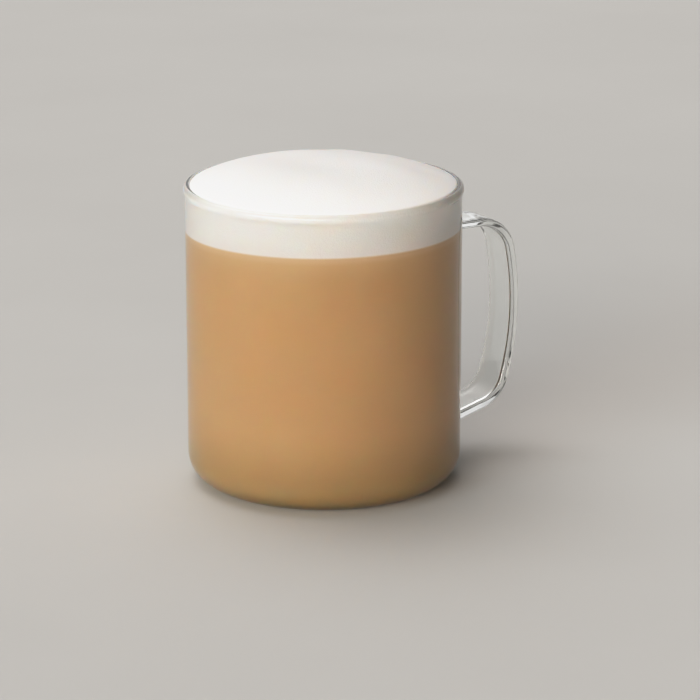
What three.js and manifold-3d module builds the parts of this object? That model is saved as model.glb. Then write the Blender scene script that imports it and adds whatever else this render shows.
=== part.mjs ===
// A straight clear glass mug of milky spiced tea under a domed cap of milk foam.
// Millimetres, +Z up. The origin is the middle of the mug's base, and the handle points along +X.
import * as THREE from 'three';
import { mergeVertices } from 'three/addons/utils/BufferGeometryUtils.js';
import Module from 'manifold-3d';

const wasm = await Module();
wasm.setup();

// The blown glass cup
const CUP_RADIUS = 44;
const CUP_HEIGHT = 97;
const WALL = 2.4;
const FLOOR = 3.4;
const BASE_CORNER = 9.4;

// The fire-polished rim, a round bead that stands a little proud of the outer wall
const BEAD_RADIUS = 1.4;
const BEAD_FLARE = 0.5;
const BEAD_SWELL = 1.5;
const FOOT_PULL = 0.3;
const BEAD_PULL = 0.85;

// The flat glass strap of the handle. Heights are above the base, reaches are from the cup's axis.
const STRAP_WIDTH = 14.2;
const STRAP_ROUND = 1.3;
const STRAP_TOP = 79.9;
const STRAP_REACH = 70.4;
const TOP_ARM_THICK = 2.9;
const GRIP_THICK = 3.7;
const LOW_ARM_THICK = 3.6;
const TOP_BEND = 13.7;
const LOW_BEND = 13.8;
const BOW_RADIUS = 94;
const BOW_HEIGHT = 50.8;
const LOW_ARM_SLOPE = THREE.MathUtils.degToRad(16);
const LOW_ARM_ROOT = 11.3;
const ROOT_FILLET = 2.4;
const ROOT_DEPTH = 4;

// The drink and its foam. The line between them leans a little, and so does the dome.
const GAP = 0.3;
const LINE_HEIGHT = 82.6;
const LINE_SLOPE = 0.0225;
const LINE_WAVE = 0.5;
const LINE_WAVES = [
  { lobes: 2, start: -1.02, share: 1 },
  { lobes: 3, start: -2, share: 0.24 },
];
const LEAN_ANGLE = THREE.MathUtils.degToRad(-30);

// The foam's top, which laps onto the bead's inner slope all round and domes over it
const LAP_RADIUS = 42.4;
const DOME_EDGE = 97.1;
const DOME_RISE = 6;
const DOME_POWER = 3.15;
const DOME_LEAN = 0.9;

// Soft lumps in the dome: the place of each, how wide it is and how far it rises or sinks
const LUMPS = [
  { x: -4, y: 2, spread: 9, rise: -0.32 },
  { x: 17, y: -6, spread: 8, rise: 0.34 },
  { x: -24, y: 12, spread: 11, rise: 0.36 },
  { x: 30, y: -14, spread: 6, rise: -0.45 },
  { x: 6, y: 22, spread: 10, rise: 0.3 },
  { x: -12, y: -24, spread: 10, rise: 0.3 },
  { x: 23, y: 25, spread: 5, rise: 0.35 },
  { x: 14, y: 30, spread: 5, rise: -0.3 },
  { x: 33, y: 12, spread: 4, rise: 0.3 },
];

// The finish of each piece
const CLEAR_GLASS = { color: 0xe6efec, roughness: 0.03, metalness: 0, transparent: true, opacity: 0.35 };
const MILKY_TEA = { color: 0xc89c6a, roughness: 0.3, metalness: 0 };
const MILK_FOAM = { color: 0xf6f1ea, roughness: 0.75, metalness: 0 };

// How finely round shapes are cut
const TURN_STEPS = 72;
const CORNER_STEPS = 7;
const BEAD_STEPS = 4;
const SWELL_STEPS = 4;
const DISC_RINGS = 3;
const DOME_RINGS = 12;
const LAP_STEPS = 5;
const BEND_STEPS = 12;
const BOW_STEPS = 14;
const FILLET_STEPS = 4;
const EDGE_STEPS = 4;

const INNER_RADIUS = CUP_RADIUS - WALL;
const INNER_CORNER = BASE_CORNER - WALL;
const CORNER_CENTRE = CUP_RADIUS - BASE_CORNER;
const BEAD_CENTRE = CUP_RADIUS + BEAD_FLARE - BEAD_RADIUS;
const BEAD_HEIGHT = CUP_HEIGHT - BEAD_RADIUS;
const SWELL_FOOT = BEAD_HEIGHT - BEAD_SWELL;
const MOUTH_CLEAR = 2;
const FOAM_RADIUS = INNER_RADIUS - GAP;
const TOP_NORMAL = Math.PI / 2;

// Points along an arc in a plane, from one angle to another.
function arc(x, y, radius, start, end, steps) {
  return Array.from({ length: steps + 1 }, (_, i) => {
    const angle = start + ((end - start) * i) / steps;
    return new THREE.Vector2(x + radius * Math.cos(angle), y + radius * Math.sin(angle));
  });
}

// Points along a cubic curve in a plane.
function cubic(start, pull, push, end, steps) {
  return new THREE.CubicBezierCurve(start, pull, push, end).getPoints(steps);
}

// Drops a point that repeats the one before it.
function withoutRepeats(points) {
  return points.filter((point, i) => i === 0 || point.distanceTo(points[i - 1]) > 1e-4);
}

// A closed shape as a solid: its shared corners are merged and its empty triangles dropped.
function solidOf(geometry) {
  const bare = geometry.index ? geometry.toNonIndexed() : geometry.clone();
  bare.deleteAttribute('normal');
  bare.deleteAttribute('uv');
  const merged = mergeVertices(bare, 1e-4);
  const corners = merged.index.array;
  const kept = [];
  for (let i = 0; i < corners.length; i += 3) {
    const [a, b, c] = [corners[i], corners[i + 1], corners[i + 2]];
    if (a !== b && b !== c && c !== a) {
      kept.push(a, b, c);
    }
  }
  return new wasm.Manifold(new wasm.Mesh({
    numProp: 3,
    vertProperties: new Float32Array(merged.attributes.position.array),
    triVerts: new Uint32Array(kept),
  }));
}

// A solid as a named mesh with its own material.
function meshOf(name, solid, finish) {
  const { vertProperties, triVerts, numProp } = solid.getMesh();
  const geometry = new THREE.BufferGeometry();
  const position = new THREE.BufferAttribute(Float32Array.from(vertProperties), numProp);
  geometry.setAttribute('position', position);
  geometry.setIndex(new THREE.BufferAttribute(Uint32Array.from(triVerts), 1));
  geometry.computeVertexNormals();
  const mesh = new THREE.Mesh(geometry, new THREE.MeshStandardMaterial(finish));
  mesh.name = name;
  return mesh;
}

// A profile of radius and height, turned round the cup's axis.
function turned(profile) {
  const geometry = new THREE.LatheGeometry(withoutRepeats(profile), TURN_STEPS);
  return geometry.rotateX(Math.PI / 2);
}

// Radii of evenly spaced rings from the axis out to an edge.
function ringRadii(edge, count) {
  return Array.from({ length: count + 1 }, (_, i) => (edge * i) / count);
}

// The outside of the cup, filled: base, rounded corner, straight wall, flare and the outer half of the bead.
function outsideProfile() {
  const swell = cubic(
    new THREE.Vector2(CUP_RADIUS, SWELL_FOOT),
    new THREE.Vector2(CUP_RADIUS, SWELL_FOOT + FOOT_PULL),
    new THREE.Vector2(CUP_RADIUS + BEAD_FLARE, BEAD_HEIGHT - BEAD_PULL),
    new THREE.Vector2(CUP_RADIUS + BEAD_FLARE, BEAD_HEIGHT),
    SWELL_STEPS,
  );
  return [
    new THREE.Vector2(0, 0),
    ...arc(CORNER_CENTRE, BASE_CORNER, BASE_CORNER, -TOP_NORMAL, 0, CORNER_STEPS),
    ...swell,
    ...arc(BEAD_CENTRE, BEAD_HEIGHT, BEAD_RADIUS, 0, TOP_NORMAL, BEAD_STEPS),
    new THREE.Vector2(0, CUP_HEIGHT),
  ];
}

// The space inside the cup: floor, rounded corner, straight wall, the bead's inner half and the open mouth.
function insideProfile() {
  return [
    new THREE.Vector2(0, FLOOR),
    ...arc(CORNER_CENTRE, FLOOR + INNER_CORNER, INNER_CORNER, -TOP_NORMAL, 0, CORNER_STEPS),
    new THREE.Vector2(INNER_RADIUS, SWELL_FOOT),
    ...arc(BEAD_CENTRE, BEAD_HEIGHT, BEAD_RADIUS, Math.PI, TOP_NORMAL, BEAD_STEPS),
    new THREE.Vector2(BEAD_CENTRE, CUP_HEIGHT + MOUTH_CLEAR),
    new THREE.Vector2(0, CUP_HEIGHT + MOUTH_CLEAR),
  ];
}

// One side of the strap's loop, inset into the glass: top arm, top bend, bowed grip, lower bend, low arm.
// Each bend is an arc that leaves the arm and meets the bow along their tangents.
function strapSide(topInset, gripInset, lowInset) {
  const bow = new THREE.Vector2(STRAP_REACH - BOW_RADIUS, BOW_HEIGHT);
  const bowRadius = BOW_RADIUS - gripInset;
  const topBend = TOP_BEND - gripInset;
  const lowBend = LOW_BEND - gripInset;

  const topHeight = STRAP_TOP - topInset - topBend;
  const topAngle = Math.asin((topHeight - bow.y) / (bowRadius - topBend));
  const topCentre = bow.x + (bowRadius - topBend) * Math.cos(topAngle);

  const along = new THREE.Vector2(Math.cos(LOW_ARM_SLOPE), Math.sin(LOW_ARM_SLOPE));
  const up = new THREE.Vector2(-along.y, along.x);
  const armRoot = new THREE.Vector2(CUP_RADIUS, LOW_ARM_ROOT + lowInset / along.x);
  const armLine = armRoot.clone().addScaledVector(up, lowBend);
  const fromBow = armLine.clone().sub(bow);
  const reach = bowRadius - lowBend;
  const onLine = fromBow.dot(along);
  const travel = -onLine + Math.sqrt(onLine * onLine - fromBow.lengthSq() + reach * reach);
  const lowCentre = armLine.clone().addScaledVector(along, travel);
  const lowAngle = Math.asin((lowCentre.y - bow.y) / reach);

  const topRoot = new THREE.Vector2(CUP_RADIUS, STRAP_TOP - topInset);
  return {
    topRoot,
    lowRoot: armRoot,
    bends: [
      ...arc(topCentre, topHeight, topBend, TOP_NORMAL, topAngle, BEND_STEPS),
      ...arc(bow.x, bow.y, bowRadius, topAngle, lowAngle, BOW_STEPS),
      ...arc(lowCentre.x, lowCentre.y, lowBend, lowAngle, LOW_ARM_SLOPE - TOP_NORMAL, BEND_STEPS),
    ],
  };
}

// A curve that spreads an arm's edge out to meet the wall, where the hot glass was pressed on.
function rootFillet(root, direction, slope) {
  const wall = new THREE.Vector2(CUP_RADIUS - ROOT_DEPTH, root.y + direction * ROOT_FILLET);
  const knee = new THREE.Vector2(CUP_RADIUS, root.y + direction * ROOT_FILLET);
  const foot = new THREE.Vector2(root.x + ROOT_FILLET, root.y + slope * ROOT_FILLET);
  return [wall, ...cubic(knee, root, root, foot, FILLET_STEPS)];
}

// The strap's loop drawn from the side, then given the strap's width and rounded along its edges.
function handleSolid() {
  const outer = strapSide(0, 0, 0);
  const inner = strapSide(TOP_ARM_THICK, GRIP_THICK, LOW_ARM_THICK);
  const lowSlope = Math.tan(LOW_ARM_SLOPE);
  const outline = withoutRepeats([
    ...rootFillet(outer.topRoot, 1, 0),
    ...outer.bends,
    ...rootFillet(outer.lowRoot, -1, lowSlope).reverse(),
    ...rootFillet(inner.lowRoot, 1, lowSlope),
    ...inner.bends.reverse(),
    ...rootFillet(inner.topRoot, -1, 0).reverse(),
  ]);
  const geometry = new THREE.ExtrudeGeometry(new THREE.Shape(outline), {
    depth: STRAP_WIDTH - 2 * STRAP_ROUND,
    steps: 1,
    bevelThickness: STRAP_ROUND,
    bevelSize: STRAP_ROUND,
    bevelOffset: -STRAP_ROUND,
    bevelSegments: EDGE_STEPS,
  });
  geometry.translate(0, 0, STRAP_ROUND - STRAP_WIDTH / 2);
  return solidOf(geometry.rotateX(Math.PI / 2));
}

// How far to the leaning side a point lies, from -1 at one edge of the cup to 1 at the other.
function leanAt(x, y) {
  return (x * Math.cos(LEAN_ANGLE) + y * Math.sin(LEAN_ANGLE)) / INNER_RADIUS;
}

// Height of the line between drink and foam, which leans and waves a little.
function lineAt(x, y) {
  const turn = Math.atan2(y, x);
  const out = Math.hypot(x, y) / INNER_RADIUS;
  let height = LINE_HEIGHT + LINE_SLOPE * INNER_RADIUS * leanAt(x, y);
  for (const wave of LINE_WAVES) {
    height += LINE_WAVE * wave.share * out * out * Math.cos(wave.lobes * turn + wave.start);
  }
  return height;
}

// How far the leaning and the lumps lift the dome, which fades to nothing at the rim.
function domeReliefAt(x, y) {
  const out = Math.min(1, Math.hypot(x, y) / LAP_RADIUS);
  const fade = 1 - out * out;
  let rise = -DOME_LEAN * leanAt(x, y) * fade;
  for (const lump of LUMPS) {
    const far = Math.hypot(x - lump.x, y - lump.y) / lump.spread;
    rise += lump.rise * Math.exp(-far * far) * Math.sqrt(fade);
  }
  return rise;
}

// Height of the plain dome at a radius: a flat-topped curve that falls to the rim.
function domeProfileAt(radius) {
  return DOME_EDGE + DOME_RISE * (1 - Math.pow(radius / LAP_RADIUS, DOME_POWER));
}

// Lifts each corner of a turned shape by a rule that reads its place.
function lifted(geometry, rule) {
  const position = geometry.attributes.position;
  for (let i = 0; i < position.count; i += 1) {
    const [x, y, z] = [position.getX(i), position.getY(i), position.getZ(i)];
    position.setZ(i, z + rule(x, y, z));
  }
  return geometry;
}

// The tea: the cup's inside less a small gap, up to the leaning line.
function teaSolid() {
  const top = LINE_HEIGHT - GAP / 2;
  const radius = INNER_RADIUS - GAP;
  const corner = INNER_CORNER - GAP;
  const profile = [
    new THREE.Vector2(0, FLOOR + GAP),
    ...arc(CORNER_CENTRE, FLOOR + INNER_CORNER, corner, -TOP_NORMAL, 0, CORNER_STEPS),
    ...ringRadii(radius, DISC_RINGS).reverse().map((r) => new THREE.Vector2(r, top)),
  ];
  const rule = (x, y, z) => (z > LINE_HEIGHT - GAP ? lineAt(x, y) - LINE_HEIGHT : 0);
  return solidOf(lifted(turned(profile), rule));
}

// The foam: a thick disc with a leaning underside, an edge that laps onto the bead, and a lumpy dome.
function foamSolid() {
  const bottom = LINE_HEIGHT + GAP / 2;
  const lapCurve = BEAD_RADIUS + GAP;
  const lapEdge = LAP_RADIUS - GAP;
  const lapAngle = Math.acos((lapEdge - BEAD_CENTRE) / lapCurve);
  const profile = [
    ...ringRadii(FOAM_RADIUS, DISC_RINGS).map((r) => new THREE.Vector2(r, bottom)),
    new THREE.Vector2(FOAM_RADIUS, SWELL_FOOT),
    ...arc(BEAD_CENTRE, BEAD_HEIGHT, lapCurve, Math.PI, lapAngle, LAP_STEPS),
    ...ringRadii(lapEdge, DOME_RINGS).reverse().map((r) => new THREE.Vector2(r, domeProfileAt(r))),
  ];
  const rule = (x, y, z) => {
    if (z < LINE_HEIGHT + GAP) {
      return lineAt(x, y) - LINE_HEIGHT;
    }
    return z > DOME_EDGE ? domeReliefAt(x, y) : 0;
  };
  return solidOf(lifted(turned(profile), rule));
}

// The mug in one piece of glass: cup and handle fused, then hollowed.
function mugSolid() {
  const blank = solidOf(turned(outsideProfile())).add(handleSolid());
  return blank.subtract(solidOf(turned(insideProfile())));
}

const part = new THREE.Group();
part.add(
  meshOf('glass_mug', mugSolid(), CLEAR_GLASS),
  meshOf('milky_tea', teaSolid(), MILKY_TEA),
  meshOf('milk_foam', foamSolid(), MILK_FOAM),
);

export default part;
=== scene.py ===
# A clear glass mug of milky spiced tea under a domed cap of milk foam, in a plain soft studio.
import math

import bpy
import numpy as np
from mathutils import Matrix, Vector


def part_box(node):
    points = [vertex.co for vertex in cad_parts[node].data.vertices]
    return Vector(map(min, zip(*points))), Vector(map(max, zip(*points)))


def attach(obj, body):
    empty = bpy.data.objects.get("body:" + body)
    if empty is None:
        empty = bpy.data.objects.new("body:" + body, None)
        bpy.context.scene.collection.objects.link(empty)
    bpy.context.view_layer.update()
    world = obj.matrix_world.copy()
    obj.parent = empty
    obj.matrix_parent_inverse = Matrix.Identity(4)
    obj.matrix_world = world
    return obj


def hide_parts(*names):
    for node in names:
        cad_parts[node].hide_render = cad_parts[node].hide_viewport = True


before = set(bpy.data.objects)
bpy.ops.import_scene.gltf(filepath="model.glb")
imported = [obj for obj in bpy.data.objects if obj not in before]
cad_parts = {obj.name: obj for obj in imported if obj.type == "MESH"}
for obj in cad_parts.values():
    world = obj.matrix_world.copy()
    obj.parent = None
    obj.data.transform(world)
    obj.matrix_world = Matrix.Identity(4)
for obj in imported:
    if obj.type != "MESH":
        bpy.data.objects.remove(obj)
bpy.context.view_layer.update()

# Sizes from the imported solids, in millimetres, and the gap that they leave between glass and drink
MM = 0.001
mug_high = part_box("glass_mug")[1] / MM
tea_low, tea_high = (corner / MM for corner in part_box("milky_tea"))
GAP = 0.3
CUP_HEIGHT = mug_high.z
BEAD_OUT = mug_high.y
INNER_RADIUS = tea_high.y + GAP
CUP_FLOOR = tea_low.z - GAP

# The blown cup and its fire-polished rim bead, which rises out of the wall in a short swell
BEAD_FLARE = 0.5
CUP_RADIUS = BEAD_OUT - BEAD_FLARE
WALL = CUP_RADIUS - INNER_RADIUS
BASE_CORNER = 9.4
INNER_CORNER = BASE_CORNER - WALL
CORNER_CENTRE = CUP_RADIUS - BASE_CORNER
BEAD_RADIUS = 1.4
BEAD_SWELL = 1.5
FOOT_PULL = 0.3
BEAD_PULL = 0.85
BEAD_CENTRE = BEAD_OUT - BEAD_RADIUS
BEAD_HEIGHT = CUP_HEIGHT - BEAD_RADIUS
SWELL_FOOT = BEAD_HEIGHT - BEAD_SWELL

# The flat strap of the handle: heights above the base, reaches from the cup's axis
STRAP_REACH = 70.4
STRAP_WIDTH = 14.2
STRAP_ROUND = 1.3
STRAP_CROWN = 0.12
STRAP_TOP = 79.9
TOP_ARM_THICK = 2.9
GRIP_THICK = 3.7
LOW_ARM_THICK = 3.6
TOP_BEND = 13.7
LOW_BEND = 13.8
BOW_RADIUS = 94
BOW_HEIGHT = 50.8
LOW_ARM_SLOPE = math.radians(16)
LOW_ARM_ROOT = 11.3
ROOT_FLARE = 2.4
ROOT_INSIDE = 1.4

# The drink and its foam, which reach just into the glass. Their line leans a little, as the dome does.
SINK = 0.2
LINE_HEIGHT = 82.6
LINE_SLOPE = 0.0225
LINE_WAVE = 0.5
LINE_WAVES = ((2, -1.02, 1.0), (3, -2.0, 0.24))
LEAN_ANGLE = math.radians(-30)
LAP_RADIUS = 42.4
LAP_ROUND = 0.5
DOME_EDGE = 97.1
DOME_RISE = 6.0
DOME_POWER = 3.15
DOME_LEAN = 0.9
LUMPS = (
    (-4, 2, 9, -0.32),
    (17, -6, 8, 0.34),
    (-24, 12, 11, 0.36),
    (30, -14, 6, -0.45),
    (6, 22, 10, 0.3),
    (-12, -24, 10, 0.3),
    (23, 25, 5, 0.35),
    (14, 30, 5, -0.3),
    (33, 12, 4, 0.3),
)

# How finely surfaces are cut: steps round the cup, and the length of one along a profile and the strap.
# A corner sharper than the crease angle keeps a hard edge.
TURN_STEPS = 288
PROFILE_STEP = 1.1
STRAP_STEP = 0.5
CORNER_STEPS = 48
SWELL_STEPS = 12
BEAD_STEPS = 24
BEND_STEPS = 40
BOW_STEPS = 60
PATH_STEPS = 200
EDGE_STEPS = 8
SECTION_STEPS = 72
DISC_STEPS = 24
WALL_STEPS = 40
DOME_STEPS = 72
CREASE = math.radians(40)

# Finishes: colours as sRGB, depths, spacings and distances from the line in millimetres. Scatter says how
# deep red, green and blue light go, as shares of the depth.
TEA_DEEP = "d6b385"
TEA_LIGHT = "dcbb91"
# Painted shade: the tea's colour darkens towards the bottom of the cup, for the dimmer light there
TEA_LOW_SHADE = "c2a475"
TEA_CREAM = "dfc19b"
TEA_BLEND = 2.2
TEA_DEPTH = 1.5
TEA_SCATTER = (1.0, 0.55, 0.3)
TEA_FADE_START = 9
TEA_FADE_END = 0.75
TEA_SWIRL = 28
# Height up to which the painted shade darkens the tea, in millimetres above the base
LOW_SHADE_HEIGHT = 28
FOAM_WHITE = "fdf5f3"
FOAM_SHADE = "fbf2ef"
FOAM_BLEND = 0.9
FOAM_DEPTH = 1.5
FOAM_SCATTER = (1.0, 0.8, 0.65)
FOAM_FADE_START = 3.0
FOAM_FADE_END = 0.375
FOAM_CLOUD = 14
BUBBLE = 0.5
BUBBLE_DEPTH = 0.05
MILK_IOR = 1.35
GLASS_CLEAR = "fbfdfc"
GLASS_IOR = 1.47
GLASS_WAVE = 22
GLASS_WAVE_DEPTH = 0.04
BOARD_DARK = "c6c6c4"
BOARD_LIGHT = "cdcdcb"
BOARD_MOTTLE = 120

# Light: the surround's level and colour, and each glow's bearing round the mug from the camera towards the
# camera's right, its height, power, strength and colour
SURROUND = 0.045
SURROUND_COLOUR = "fff2e8"
GLOWS = (
    (math.radians(-43), math.radians(9), 24, 10.3, "f1fbff"),
    (math.radians(-17), math.radians(9), 24, 11.3, "ffefdf"),
    (math.radians(-140), math.radians(66), 10, 3.5, "fffbf9"),
    (math.radians(180), math.radians(12), 10, 0.85, "ffffff"),
)
FLOOR_REACH = 8000

# Tones of the picture: how much light comes in and how much is shown, on the curve for all colours
ALL_COLOURS = 3
FILM_TONES = ((0, 0), (0.12, 0.1), (0.3, 0.28), (0.55, 0.56), (0.8, 0.8), (1.0, 0.9), (1.4, 0.99))

# The photograph's view: the camera looks past the handle's left side, a little down on the rim
VIEW_AZIMUTH = math.radians(-30)
VIEW_ELEVATION = math.radians(15.87)
VIEW_DISTANCE = 1066
VIEW_AIM = Vector((0, 0, 47.1))
FRAME_PIXELS = 700
AIM_PIXEL = (324.0, 334.6)
FOCAL_PIXELS = 3324
SENSOR = 36
VIEW_REACH = 100000


def linear(hex_colour):
    """An sRGB hex colour, such as "c89c6a", as linear red, green, blue and alpha: each channel goes
    through the standard's curve, which is a straight foot and a power above it."""
    channels = [int(hex_colour[i:i + 2], 16) / 255 for i in (0, 2, 4)]
    curve = [c / 12.92 if c <= 0.04045 else ((c + 0.055) / 1.055) ** 2.4 for c in channels]
    return (*curve, 1.0)


def arc(x, z, radius, start, end, steps):
    """Points on an arc in a plane: centre plus radius times the cosine and sine of evenly spaced
    angles."""
    angle = np.linspace(start, end, steps + 1)
    return np.stack([x + radius * np.cos(angle), z + radius * np.sin(angle)], axis=1)


def cubic(start, pull, push, end, steps):
    """Points on a cubic curve: the four corners weighted by the Bernstein weights of evenly spaced
    shares."""
    t = np.linspace(0, 1, steps + 1)[:, None]
    corners = [np.array(p, float) for p in (start, pull, push, end)]
    weights = ((1 - t) ** 3, 3 * t * (1 - t) ** 2, 3 * t * t * (1 - t), t ** 3)
    return sum(w * c for w, c in zip(weights, corners))


def even_steps(points, step):
    """The same path cut into nearly equal steps, found by interpolating its points over the length run so
    far."""
    points = np.asarray(points, float)
    length = np.concatenate([[0], np.cumsum(np.linalg.norm(np.diff(points, axis=0), axis=1))])
    count = max(2, round(length[-1] / step) + 1)
    at = np.linspace(0, length[-1], count)
    return np.stack([np.interp(at, length, points[:, k]) for k in range(points.shape[1])], axis=1)


def mesh_object(name, points, faces, smooth=True):
    """A mesh object from points in millimetres and faces as lists of corner numbers. Only a corner
    sharper than the crease angle, such as where the tea's wall meets its top, keeps a hard edge."""
    mesh = bpy.data.meshes.new(name)
    mesh.from_pydata((np.asarray(points) * MM).tolist(), [], faces)
    mesh.validate()
    mesh.polygons.foreach_set("use_smooth", np.full(len(mesh.polygons), smooth))
    mesh.set_sharp_from_angle(angle=CREASE)
    mesh.update()
    piece = bpy.data.objects.new(name, mesh)
    bpy.context.scene.collection.objects.link(piece)
    return piece


def rings_to_faces(rows, steps):
    """Faces over rings of points: squares between one ring and the next, and fans to a point before and
    after."""
    row, step = np.meshgrid(np.arange(rows - 1), np.arange(steps), indexing="ij")
    here = 1 + row * steps + step
    beside = 1 + row * steps + (step + 1) % steps
    squares = np.stack([here, beside, beside + steps, here + steps], axis=-1).reshape(-1, 4)
    around = np.arange(steps)
    first = np.stack([np.zeros(steps, int), 1 + (around + 1) % steps, 1 + around], axis=1)
    last_ring = 1 + (rows - 1) * steps
    end = np.full(steps, 1 + rows * steps)
    last = np.stack([last_ring + around, last_ring + (around + 1) % steps, end], axis=1)
    return squares.tolist() + first.tolist() + last.tolist()


def turned(profile):
    """A profile of radius and height turned round the cup's axis: each ring is the radius times the
    cosine and sine of evenly spaced angles, at the profile's height. The profile's first and last points
    are on the axis."""
    angle = np.linspace(0, 2 * np.pi, TURN_STEPS, endpoint=False)
    radius, height = profile[1:-1, 0, None], profile[1:-1, 1, None]
    rings = np.stack([radius * np.cos(angle), radius * np.sin(angle), height + 0 * angle], axis=-1)
    ends = [[[0, 0, profile[k, 1]]] for k in (0, -1)]
    points = np.concatenate([ends[0], rings.reshape(-1, 3), ends[1]])
    return points, rings_to_faces(len(profile) - 2, TURN_STEPS)


def cup_profile():
    """The cup's outline from the middle of the base: rounded corner, straight wall, flare, round bead,
    inner wall, rounded inner corner and floor."""
    swell = cubic(
        (CUP_RADIUS, SWELL_FOOT),
        (CUP_RADIUS, SWELL_FOOT + FOOT_PULL),
        (BEAD_OUT, BEAD_HEIGHT - BEAD_PULL),
        (BEAD_OUT, BEAD_HEIGHT),
        SWELL_STEPS,
    )
    lower = np.concatenate([
        [[0, 0]],
        arc(CORNER_CENTRE, BASE_CORNER, BASE_CORNER, -math.pi / 2, 0, CORNER_STEPS),
        [[CUP_RADIUS, SWELL_FOOT]],
    ])
    inner = np.concatenate([
        [[INNER_RADIUS, SWELL_FOOT]],
        arc(CORNER_CENTRE, CUP_FLOOR + INNER_CORNER, INNER_CORNER, 0, -math.pi / 2, CORNER_STEPS),
        [[0, CUP_FLOOR]],
    ])
    bead = arc(BEAD_CENTRE, BEAD_HEIGHT, BEAD_RADIUS, 0, math.pi, BEAD_STEPS)
    return np.concatenate([
        even_steps(lower, PROFILE_STEP)[:-1],
        swell,
        bead[1:],
        even_steps(inner, PROFILE_STEP),
    ])


def strap_side(top_inset, grip_inset, low_inset):
    """One side of the strap, as reaches and heights, inset from the outer side by these amounts: a level
    top arm, a bend, the bowed grip, a lower bend and a sloping arm. Each bend is an arc that meets the
    arm and the bow along their tangents."""
    bow = np.array([STRAP_REACH - BOW_RADIUS, BOW_HEIGHT])
    bow_radius = BOW_RADIUS - grip_inset
    top_bend = TOP_BEND - grip_inset
    low_bend = LOW_BEND - grip_inset

    top_height = STRAP_TOP - top_inset - top_bend
    top_angle = math.asin((top_height - bow[1]) / (bow_radius - top_bend))
    top_centre = bow[0] + (bow_radius - top_bend) * math.cos(top_angle)

    along = np.array([math.cos(LOW_ARM_SLOPE), math.sin(LOW_ARM_SLOPE)])
    up = np.array([-along[1], along[0]])
    root = np.array([CUP_RADIUS, LOW_ARM_ROOT + low_inset / along[0]])
    line = root + up * low_bend
    reach = bow_radius - low_bend
    on_line = (line - bow) @ along
    travel = -on_line + math.sqrt(on_line ** 2 - (line - bow) @ (line - bow) + reach ** 2)
    low_centre = line + along * travel
    low_angle = math.asin((low_centre[1] - bow[1]) / reach)

    inside = CUP_RADIUS - ROOT_INSIDE
    return [
        np.array([[inside, STRAP_TOP - top_inset], [top_centre, STRAP_TOP - top_inset]]),
        arc(top_centre, top_height, top_bend, math.pi / 2, top_angle, BEND_STEPS),
        arc(*bow, bow_radius, top_angle, low_angle, BOW_STEPS),
        arc(*low_centre, low_bend, low_angle, LOW_ARM_SLOPE - math.pi / 2, BEND_STEPS),
        np.array([root + along * travel, root - along / along[0] * ROOT_INSIDE]),
    ]


def strap_section(steps):
    """The strap's cross-section as shares across the width and the thickness, each from -1 to 1, with
    round edges: four quarter arcs joined by flat faces, which are crowned by a parabola."""
    half_width, half_thick = STRAP_WIDTH / 2, GRIP_THICK / 2
    middle_x, middle_z = half_width - STRAP_ROUND, half_thick - STRAP_ROUND
    turns = ((1, 1, 0), (-1, 1, math.pi / 2), (-1, -1, math.pi), (1, -1, -math.pi / 2))
    corners = [
        arc(side_x * middle_x, side_z * middle_z, STRAP_ROUND, start, start + math.pi / 2, EDGE_STEPS)
        for side_x, side_z, start in turns
    ]
    loop = np.concatenate([*corners, corners[0][:1]])
    even = even_steps(loop, np.linalg.norm(np.diff(loop, axis=0), axis=1).sum() / steps)[:-1]
    across = even[:, 0] / half_width
    through = even[:, 1] / half_thick
    return across, through * (1 - STRAP_CROWN * across ** 2)


def strap():
    """The handle: at each station the section spans the width across and the gap between the outer and
    inner sides, and near the cup's wall it swells out along its own direction by a quarter circle, as hot
    glass pressed on."""
    outer, inner = strap_side(0, 0, 0), strap_side(TOP_ARM_THICK, GRIP_THICK, LOW_ARM_THICK)
    pairs = []
    for out, into in zip(outer, inner):
        share = np.linspace(0, 1, PATH_STEPS)
        ends = [np.linspace(0, 1, len(side)) for side in (out, into)]
        pairs.append(np.stack([
            np.interp(share, ends[0], out[:, 0]), np.interp(share, ends[0], out[:, 1]),
            np.interp(share, ends[1], into[:, 0]), np.interp(share, ends[1], into[:, 1]),
        ], axis=1))
    stations = even_steps(np.concatenate(pairs), STRAP_STEP)
    middle = (stations[:, :2] + stations[:, 2:]) / 2
    half = (stations[:, :2] - stations[:, 2:]) / 2
    across, through = strap_section(SECTION_STEPS)

    flat = middle[:, None, :] + half[:, None, :] * through[None, :, None]
    side = np.broadcast_to(across * STRAP_WIDTH / 2, flat.shape[:2])
    from_wall = np.hypot(flat[..., 0], side) - CUP_RADIUS
    near = np.clip(1 - from_wall / ROOT_FLARE, 0, 1)
    flare = ROOT_FLARE * (1 - np.sqrt(1 - near ** 2))
    push = np.stack([through * STRAP_WIDTH / 2, across * GRIP_THICK / 2], axis=1)
    push = push / np.linalg.norm(push, axis=1, keepdims=True)
    thick_way = half / np.linalg.norm(half, axis=1, keepdims=True)
    flat = flat + thick_way[:, None, :] * (flare * push[None, :, 0])[..., None]
    side = side + flare * push[None, :, 1]
    rings = np.stack([flat[..., 0], side, flat[..., 1]], axis=-1)
    ends = [rings[k].mean(axis=0)[None] for k in (0, -1)]
    points = np.concatenate([ends[0], rings.reshape(-1, 3), ends[1]])
    return points, rings_to_faces(len(rings), len(across))


def lean_at(x, y):
    """How far to the leaning side a point lies, from -1 to 1: its reach along that direction over the
    radius."""
    return (x * math.cos(LEAN_ANGLE) + y * math.sin(LEAN_ANGLE)) / INNER_RADIUS


def line_at(x, y):
    """Height of the line between tea and foam: a leaning plane plus waves round the wall that grow
    outwards."""
    turn, out = np.arctan2(y, x), np.hypot(x, y) / INNER_RADIUS
    waves = sum(share * np.cos(lobes * turn + start) for lobes, start, share in LINE_WAVES)
    return LINE_HEIGHT + LINE_SLOPE * INNER_RADIUS * lean_at(x, y) + LINE_WAVE * waves * out ** 2


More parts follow.
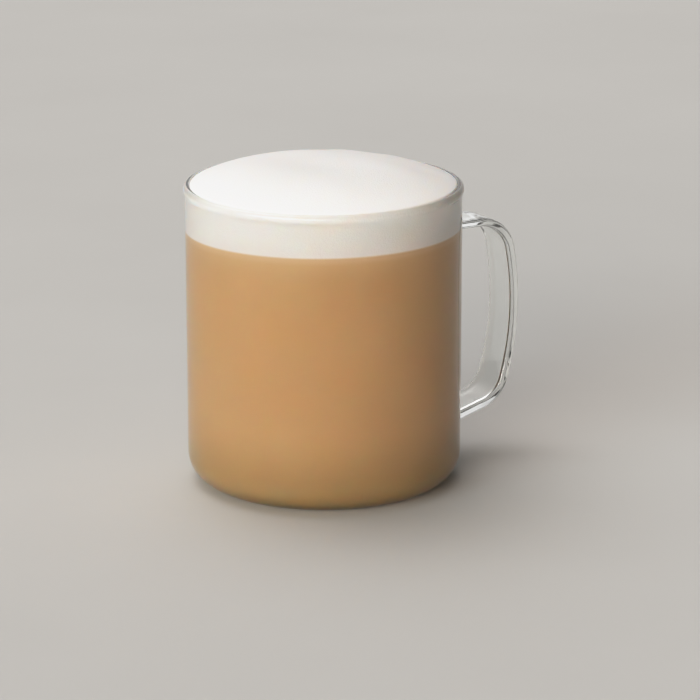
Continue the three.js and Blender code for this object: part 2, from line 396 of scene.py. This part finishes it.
def dome_at(x, y):
    """Height of the foam's top: a power curve that falls to the rim, rounded over where it ends on the
    bead, plus a lean and soft Gaussian lumps that fade out at the rim."""
    radius = np.hypot(x, y)
    out = radius / LAP_RADIUS
    fade = np.clip(1 - out ** 2, 0, 1)
    into = np.clip((radius - LAP_RADIUS) / LAP_ROUND + 1, 0, 1)
    height = DOME_EDGE + DOME_RISE * (1 - out ** DOME_POWER)
    height = height - LAP_ROUND * (1 - np.sqrt(1 - into ** 2)) - DOME_LEAN * lean_at(x, y) * fade
    for lump_x, lump_y, spread, rise in LUMPS:
        far = np.hypot(x - lump_x, y - lump_y) / spread
        height = height + rise * np.exp(-far ** 2) * np.sqrt(fade)
    return height


def tea():
    """The drink: the cup's inside grown a little into the glass, up to the leaning line."""
    grown = INNER_RADIUS + SINK
    corner = arc(
        CORNER_CENTRE, CUP_FLOOR + INNER_CORNER, INNER_CORNER + SINK, -math.pi / 2, 0, CORNER_STEPS
    )
    profile = np.concatenate([
        [[0, CUP_FLOOR - SINK]],
        corner,
        [[grown, LINE_HEIGHT]],
    ])
    profile = even_steps(profile, PROFILE_STEP)
    top = np.stack([np.linspace(grown, 0, DISC_STEPS), np.full(DISC_STEPS, LINE_HEIGHT)], axis=1)
    points, faces = turned(np.concatenate([profile, top[1:]]))
    share = np.clip((points[:, 2] - BASE_CORNER) / (LINE_HEIGHT - BASE_CORNER), 0, 1)
    points[:, 2] += share * (line_at(points[:, 0], points[:, 1]) - LINE_HEIGHT)
    return points, faces


def foam():
    """The foam: a thick disc that fills the glass, laps onto the bead's inner slope and domes over it.
    Its profile is turned first. Points under the bead are then shifted with the line, by a share that
    falls from 1 on the line to 0 at the bead, and points from the lap inwards take the dome's height."""
    grown = INNER_RADIUS + SINK
    lap_angle = math.acos((LAP_RADIUS - BEAD_CENTRE) / (BEAD_RADIUS - SINK))
    under = np.stack([np.linspace(0, grown, DISC_STEPS), np.full(DISC_STEPS, LINE_HEIGHT)], axis=1)
    rise = np.linspace(LINE_HEIGHT, BEAD_HEIGHT, WALL_STEPS)
    wall = np.stack([np.full(WALL_STEPS, grown), rise], axis=1)
    slope = arc(BEAD_CENTRE, BEAD_HEIGHT, BEAD_RADIUS - SINK, math.pi, lap_angle, EDGE_STEPS)
    edge = arc(LAP_RADIUS - LAP_ROUND, CUP_HEIGHT, LAP_ROUND, 0, math.pi / 2, EDGE_STEPS)[1:, 0]
    dome = np.concatenate([edge, np.linspace(LAP_RADIUS - LAP_ROUND, 0, DOME_STEPS)[1:]])
    top = np.stack([dome, np.full(len(dome), DOME_EDGE + DOME_RISE)], axis=1)
    points, faces = turned(np.concatenate([under, wall[1:], slope[1:], top]))
    x, y, z = points.T
    share = np.clip((BEAD_HEIGHT - z) / (BEAD_HEIGHT - LINE_HEIGHT), 0, 1)
    shifted = z + share * (line_at(x, y) - LINE_HEIGHT)
    points[:, 2] = np.where(z > CUP_HEIGHT, dome_at(x, y), shifted)
    return points, faces


def fuse(piece, other):
    """Joins two overlapping closed meshes into one skin and removes the second object."""
    join = piece.modifiers.new("fuse", "BOOLEAN")
    join.operation = "UNION"
    join.solver = "MANIFOLD"
    join.object = other
    fused = bpy.data.meshes.new_from_object(piece.evaluated_get(bpy.context.evaluated_depsgraph_get()))
    piece.modifiers.clear()
    piece.data = fused
    bpy.data.objects.remove(other)
    return piece


def mark_above_line(piece):
    """Stores at each corner its height above the line between tea and foam, in millimetres."""
    place = np.zeros(len(piece.data.vertices) * 3)
    piece.data.vertices.foreach_get("co", place)
    x, y, z = (place / MM).reshape(-1, 3).T
    above = piece.data.attributes.new("above_line", "FLOAT", "POINT")
    above.data.foreach_set("value", (z - line_at(x, y)).astype(np.float32))


def add_node(tree, kind, settings=None, inputs=None):
    """Adds a node to a tree, with its own settings and with its inputs as values or as sockets to
    link."""
    node = tree.nodes.new(kind)
    for name, value in (settings or {}).items():
        setattr(node, name, value)
    for name, value in (inputs or {}).items():
        if isinstance(value, bpy.types.NodeSocket):
            tree.links.new(value, node.inputs[name])
        else:
            node.inputs[name].default_value = value
    return node


def new_material(name):
    """An empty material and the tree it is made in."""
    material = bpy.data.materials.new(name)
    material.use_nodes = True
    material.node_tree.nodes.clear()
    return material, material.node_tree


def finish_material(tree, shader):
    """Links the shader to the material's surface."""
    add_node(tree, "ShaderNodeOutputMaterial", inputs={"Surface": shader.outputs["BSDF"]})


def per_mm(size):
    """The texture scale, in object metres, whose features are about this many millimetres across."""
    return 1 / (size * MM)


def clear_glass():
    """Borosilicate glass, blown into a mould and fire polished: clear and smooth, with the faint slow
    waves that blowing leaves, which soften what it mirrors."""
    material, tree = new_material("clear_blown_glass")
    place = add_node(tree, "ShaderNodeTexCoord").outputs["Object"]
    waves = add_node(tree, "ShaderNodeTexNoise", inputs={"Vector": place, "Scale": per_mm(GLASS_WAVE)})
    bump = add_node(tree, "ShaderNodeBump", inputs={
        "Height": waves.outputs["Fac"], "Distance": GLASS_WAVE_DEPTH * MM, "Strength": 1.0,
    })
    shader = add_node(tree, "ShaderNodeBsdfPrincipled", inputs={
        "Base Color": linear(GLASS_CLEAR), "Transmission Weight": 1.0, "Roughness": 0.0,
        "IOR": GLASS_IOR, "Normal": bump.outputs["Normal"],
    })
    finish_material(tree, shader)
    return material


def milky_tea():
    """Black tea boiled with milk and spices: an opaque tan liquid whose fat and fine tea solids scatter
    light a millimetre or two deep, a little creamier just under the foam. Its colour darkens towards the
    bottom as painted shade, for the dimmer light low in the cup. The scattering fades out towards the
    line, so that the foam's shade doesn't bleed into a dark line there."""
    material, tree = new_material("milky_spiced_tea")
    place = add_node(tree, "ShaderNodeTexCoord").outputs["Object"]
    above = add_node(tree, "ShaderNodeAttribute", {"attribute_name": "above_line"}).outputs["Fac"]
    swirl = add_node(tree, "ShaderNodeTexNoise", inputs={
        "Vector": place, "Scale": per_mm(TEA_SWIRL), "Detail": 3.0,
    })
    clear = add_node(tree, "ShaderNodeMix", {"data_type": "RGBA"}, {
        "Factor": swirl.outputs["Fac"], "A": linear(TEA_DEEP), "B": linear(TEA_LIGHT),
    })
    height = add_node(tree, "ShaderNodeSeparateXYZ", inputs={"Vector": place}).outputs["Z"]
    # Painted shade: the colour darkens towards the bottom of the cup, for the dimmer light low down
    painted_low_shade = add_node(tree, "ShaderNodeMapRange", {"interpolation_type": "SMOOTHSTEP"}, {
        "Value": height, "From Min": CUP_FLOOR * MM, "From Max": LOW_SHADE_HEIGHT * MM,
        "To Min": 1.0, "To Max": 0.0,
    })
    body = add_node(tree, "ShaderNodeMix", {"data_type": "RGBA"}, {
        "Factor": painted_low_shade.outputs["Result"], "A": clear.outputs["Result"], "B": linear(TEA_LOW_SHADE),
    })
    under = add_node(tree, "ShaderNodeMapRange", {"interpolation_type": "SMOOTHSTEP"}, {
        "Value": above, "From Min": -TEA_BLEND, "From Max": 0.0,
    })
    colour = add_node(tree, "ShaderNodeMix", {"data_type": "RGBA"}, {
        "Factor": under.outputs["Result"], "A": body.outputs["Result"], "B": linear(TEA_CREAM),
    })
    depth = add_node(tree, "ShaderNodeMapRange", inputs={
        "Value": above, "From Min": -TEA_FADE_START, "From Max": -TEA_FADE_END,
        "To Min": 1.0, "To Max": 0.0,
    })
    shader = add_node(tree, "ShaderNodeBsdfPrincipled", inputs={
        "Base Color": colour.outputs["Result"], "Subsurface Weight": depth.outputs["Result"],
        "Subsurface Scale": TEA_DEPTH * MM, "Subsurface Radius": TEA_SCATTER,
        "Roughness": 0.3, "IOR": MILK_IOR, "Specular IOR Level": 0.0,
    })
    finish_material(tree, shader)
    return material


def milk_foam():
    """Frothed milk: a fine white foam of bubbles about half a millimetre across, matte, with light
    scattered a millimetre or two deep, and creamy where it meets the tea. The scattering fades out
    towards the line, as the tea's does."""
    material, tree = new_material("fine_milk_foam")
    place = add_node(tree, "ShaderNodeTexCoord").outputs["Object"]
    above = add_node(tree, "ShaderNodeAttribute", {"attribute_name": "above_line"}).outputs["Fac"]
    cloud = add_node(tree, "ShaderNodeTexNoise", inputs={
        "Vector": place, "Scale": per_mm(FOAM_CLOUD), "Detail": 4.0,
    })
    white = add_node(tree, "ShaderNodeMix", {"data_type": "RGBA"}, {
        "Factor": cloud.outputs["Fac"], "A": linear(FOAM_SHADE), "B": linear(FOAM_WHITE),
    })
    into = add_node(tree, "ShaderNodeMapRange", {"interpolation_type": "SMOOTHSTEP"}, {
        "Value": above, "From Min": 0.0, "From Max": FOAM_BLEND, "To Min": 1.0, "To Max": 0.0,
    })
    depth = add_node(tree, "ShaderNodeMapRange", inputs={
        "Value": above, "From Min": FOAM_FADE_END, "From Max": FOAM_FADE_START,
    })
    colour = add_node(tree, "ShaderNodeMix", {"data_type": "RGBA"}, {
        "Factor": into.outputs["Result"], "A": white.outputs["Result"], "B": linear(TEA_CREAM),
    })
    bubbles = add_node(tree, "ShaderNodeTexVoronoi", inputs={"Vector": place, "Scale": per_mm(BUBBLE)})
    bump = add_node(tree, "ShaderNodeBump", inputs={
        "Height": bubbles.outputs["Distance"], "Distance": BUBBLE_DEPTH * MM, "Strength": 1.0,
    })
    shader = add_node(tree, "ShaderNodeBsdfPrincipled", inputs={
        "Base Color": colour.outputs["Result"], "Subsurface Weight": depth.outputs["Result"],
        "Subsurface Scale": FOAM_DEPTH * MM, "Subsurface Radius": FOAM_SCATTER,
        "Roughness": 0.7, "IOR": MILK_IOR, "Specular IOR Level": 0.25,
        "Normal": bump.outputs["Normal"],
    })
    finish_material(tree, shader)
    return material


def painted_board():
    """Matte painted board, pale and even, with the faint mottling of its paint."""
    material, tree = new_material("pale_painted_board")
    place = add_node(tree, "ShaderNodeTexCoord").outputs["Object"]
    mottle = add_node(tree, "ShaderNodeTexNoise", inputs={
        "Vector": place, "Scale": per_mm(BOARD_MOTTLE), "Detail": 4.0,
    })
    colour = add_node(tree, "ShaderNodeMix", {"data_type": "RGBA"}, {
        "Factor": mottle.outputs["Fac"], "A": linear(BOARD_DARK), "B": linear(BOARD_LIGHT),
    })
    shader = add_node(tree, "ShaderNodeBsdfPrincipled", inputs={
        "Base Color": colour.outputs["Result"], "Roughness": 0.8, "Specular IOR Level": 0.2,
    })
    finish_material(tree, shader)
    return material


def dress(piece, material, node):
    """Gives a piece its material and lets it stand for its solid."""
    piece.data.materials.clear()
    piece.data.materials.append(material)
    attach(piece, "root")
    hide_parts(node)


def toward(right, away, up):
    """A direction as the camera sees it, from shares to its right, away from it and up, in the part's
    frame."""
    ahead = Vector((-math.sin(VIEW_AZIMUTH), math.cos(VIEW_AZIMUTH), 0))
    across = Vector((math.cos(VIEW_AZIMUTH), math.sin(VIEW_AZIMUTH), 0))
    return (across * right + ahead * away + Vector((0, 0, up))).normalized()


def soft_studio():
    """The light: soft glows over a dim even surround. Two stand low to the camera's left, the nearer one
    warmer. One stands high behind on the left, and one low straight behind, as a pale wall would, which
    shows in the handle's top arm and in the rim. Each is the cosine of the angle from its middle, raised
    to a power, so that it has no edge for the glass to mirror."""
    world = bpy.data.worlds.new("soft_studio")
    bpy.context.scene.world = world
    world.use_nodes = True
    tree = world.node_tree
    tree.nodes.clear()
    direction = add_node(tree, "ShaderNodeTexCoord").outputs["Generated"]
    sky = add_node(tree, "ShaderNodeBackground", inputs={
        "Color": linear(SURROUND_COLOUR), "Strength": SURROUND,
    })
    light = sky.outputs["Background"]
    for bearing, height, power, strength, colour in GLOWS:
        level_part = math.cos(height)
        middle = toward(level_part * math.sin(bearing), -level_part * math.cos(bearing), math.sin(height))
        along = add_node(tree, "ShaderNodeVectorMath", {"operation": "DOT_PRODUCT"}, {
            0: direction, 1: middle,
        })
        facing = add_node(tree, "ShaderNodeMath", {"operation": "MAXIMUM"}, {
            0: along.outputs["Value"], 1: 0.0,
        })
        lobe = add_node(tree, "ShaderNodeMath", {"operation": "POWER"}, {0: facing.outputs[0], 1: power})
        level = add_node(tree, "ShaderNodeMath", {"operation": "MULTIPLY"}, {
            0: lobe.outputs[0], 1: strength,
        })
        glow = add_node(tree, "ShaderNodeBackground", inputs={
            "Color": linear(colour), "Strength": level.outputs[0],
        })
        both = add_node(tree, "ShaderNodeAddShader", inputs={0: light, 1: glow.outputs["Background"]})
        light = both.outputs["Shader"]
    add_node(tree, "ShaderNodeOutputWorld", inputs={"Surface": light})


def floor():
    """A plain floor: a flat square, wide enough to fill every view."""
    reach = FLOOR_REACH
    corners = [(-reach, -reach, 0), (reach, -reach, 0), (reach, reach, 0), (-reach, reach, 0)]
    piece = mesh_object("floor", corners, [(0, 1, 2, 3)], smooth=False)
    piece.data.materials.append(painted_board())


def camera():
    """The photograph's view: the aim point is turned off the middle of the frame to its own pixel."""
    data = bpy.data.cameras.new("camera")
    data.sensor_width = SENSOR
    data.lens = FOCAL_PIXELS / FRAME_PIXELS * SENSOR
    data.clip_end = VIEW_REACH * MM
    eye = bpy.data.objects.new("camera", data)
    back = toward(0, -math.cos(VIEW_ELEVATION), math.sin(VIEW_ELEVATION))
    across = toward(1, 0, 0)
    up = back.cross(across)
    per_pixel = VIEW_DISTANCE / FOCAL_PIXELS
    middle = (
        VIEW_AIM
        + across * (FRAME_PIXELS / 2 - AIM_PIXEL[0]) * per_pixel
        - up * (FRAME_PIXELS / 2 - AIM_PIXEL[1]) * per_pixel
    )
    place = VIEW_AIM + back * VIEW_DISTANCE
    eye.location = place * MM
    eye.rotation_mode = "QUATERNION"
    eye.rotation_quaternion = (middle - place).to_track_quat("-Z", "Y")
    bpy.context.scene.collection.objects.link(eye)
    bpy.context.scene.camera = eye


def film_curve():
    """The picture's tones: a curve that deepens shade a little and eases the brightest white, as print
    film does."""
    view = bpy.context.scene.view_settings
    view.view_transform = "Standard"
    view.use_curve_mapping = True
    mapping = view.curve_mapping
    mapping.use_clip = False
    tones = mapping.curves[ALL_COLOURS]
    tones.points[0].location = FILM_TONES[0]
    tones.points[1].location = FILM_TONES[-1]
    for light, shown in FILM_TONES[1:-1]:
        tones.points.new(light, shown)
    mapping.update()


camera()
film_curve()
soft_studio()
floor()

mug = fuse(mesh_object("mug", *turned(cup_profile())), mesh_object("strap", *strap()))
dress(mug, clear_glass(), "glass_mug")

drink = mesh_object("tea", *tea())
mark_above_line(drink)
dress(drink, milky_tea(), "milky_tea")

cap = mesh_object("foam", *foam())
mark_above_line(cap)
dress(cap, milk_foam(), "milk_foam")
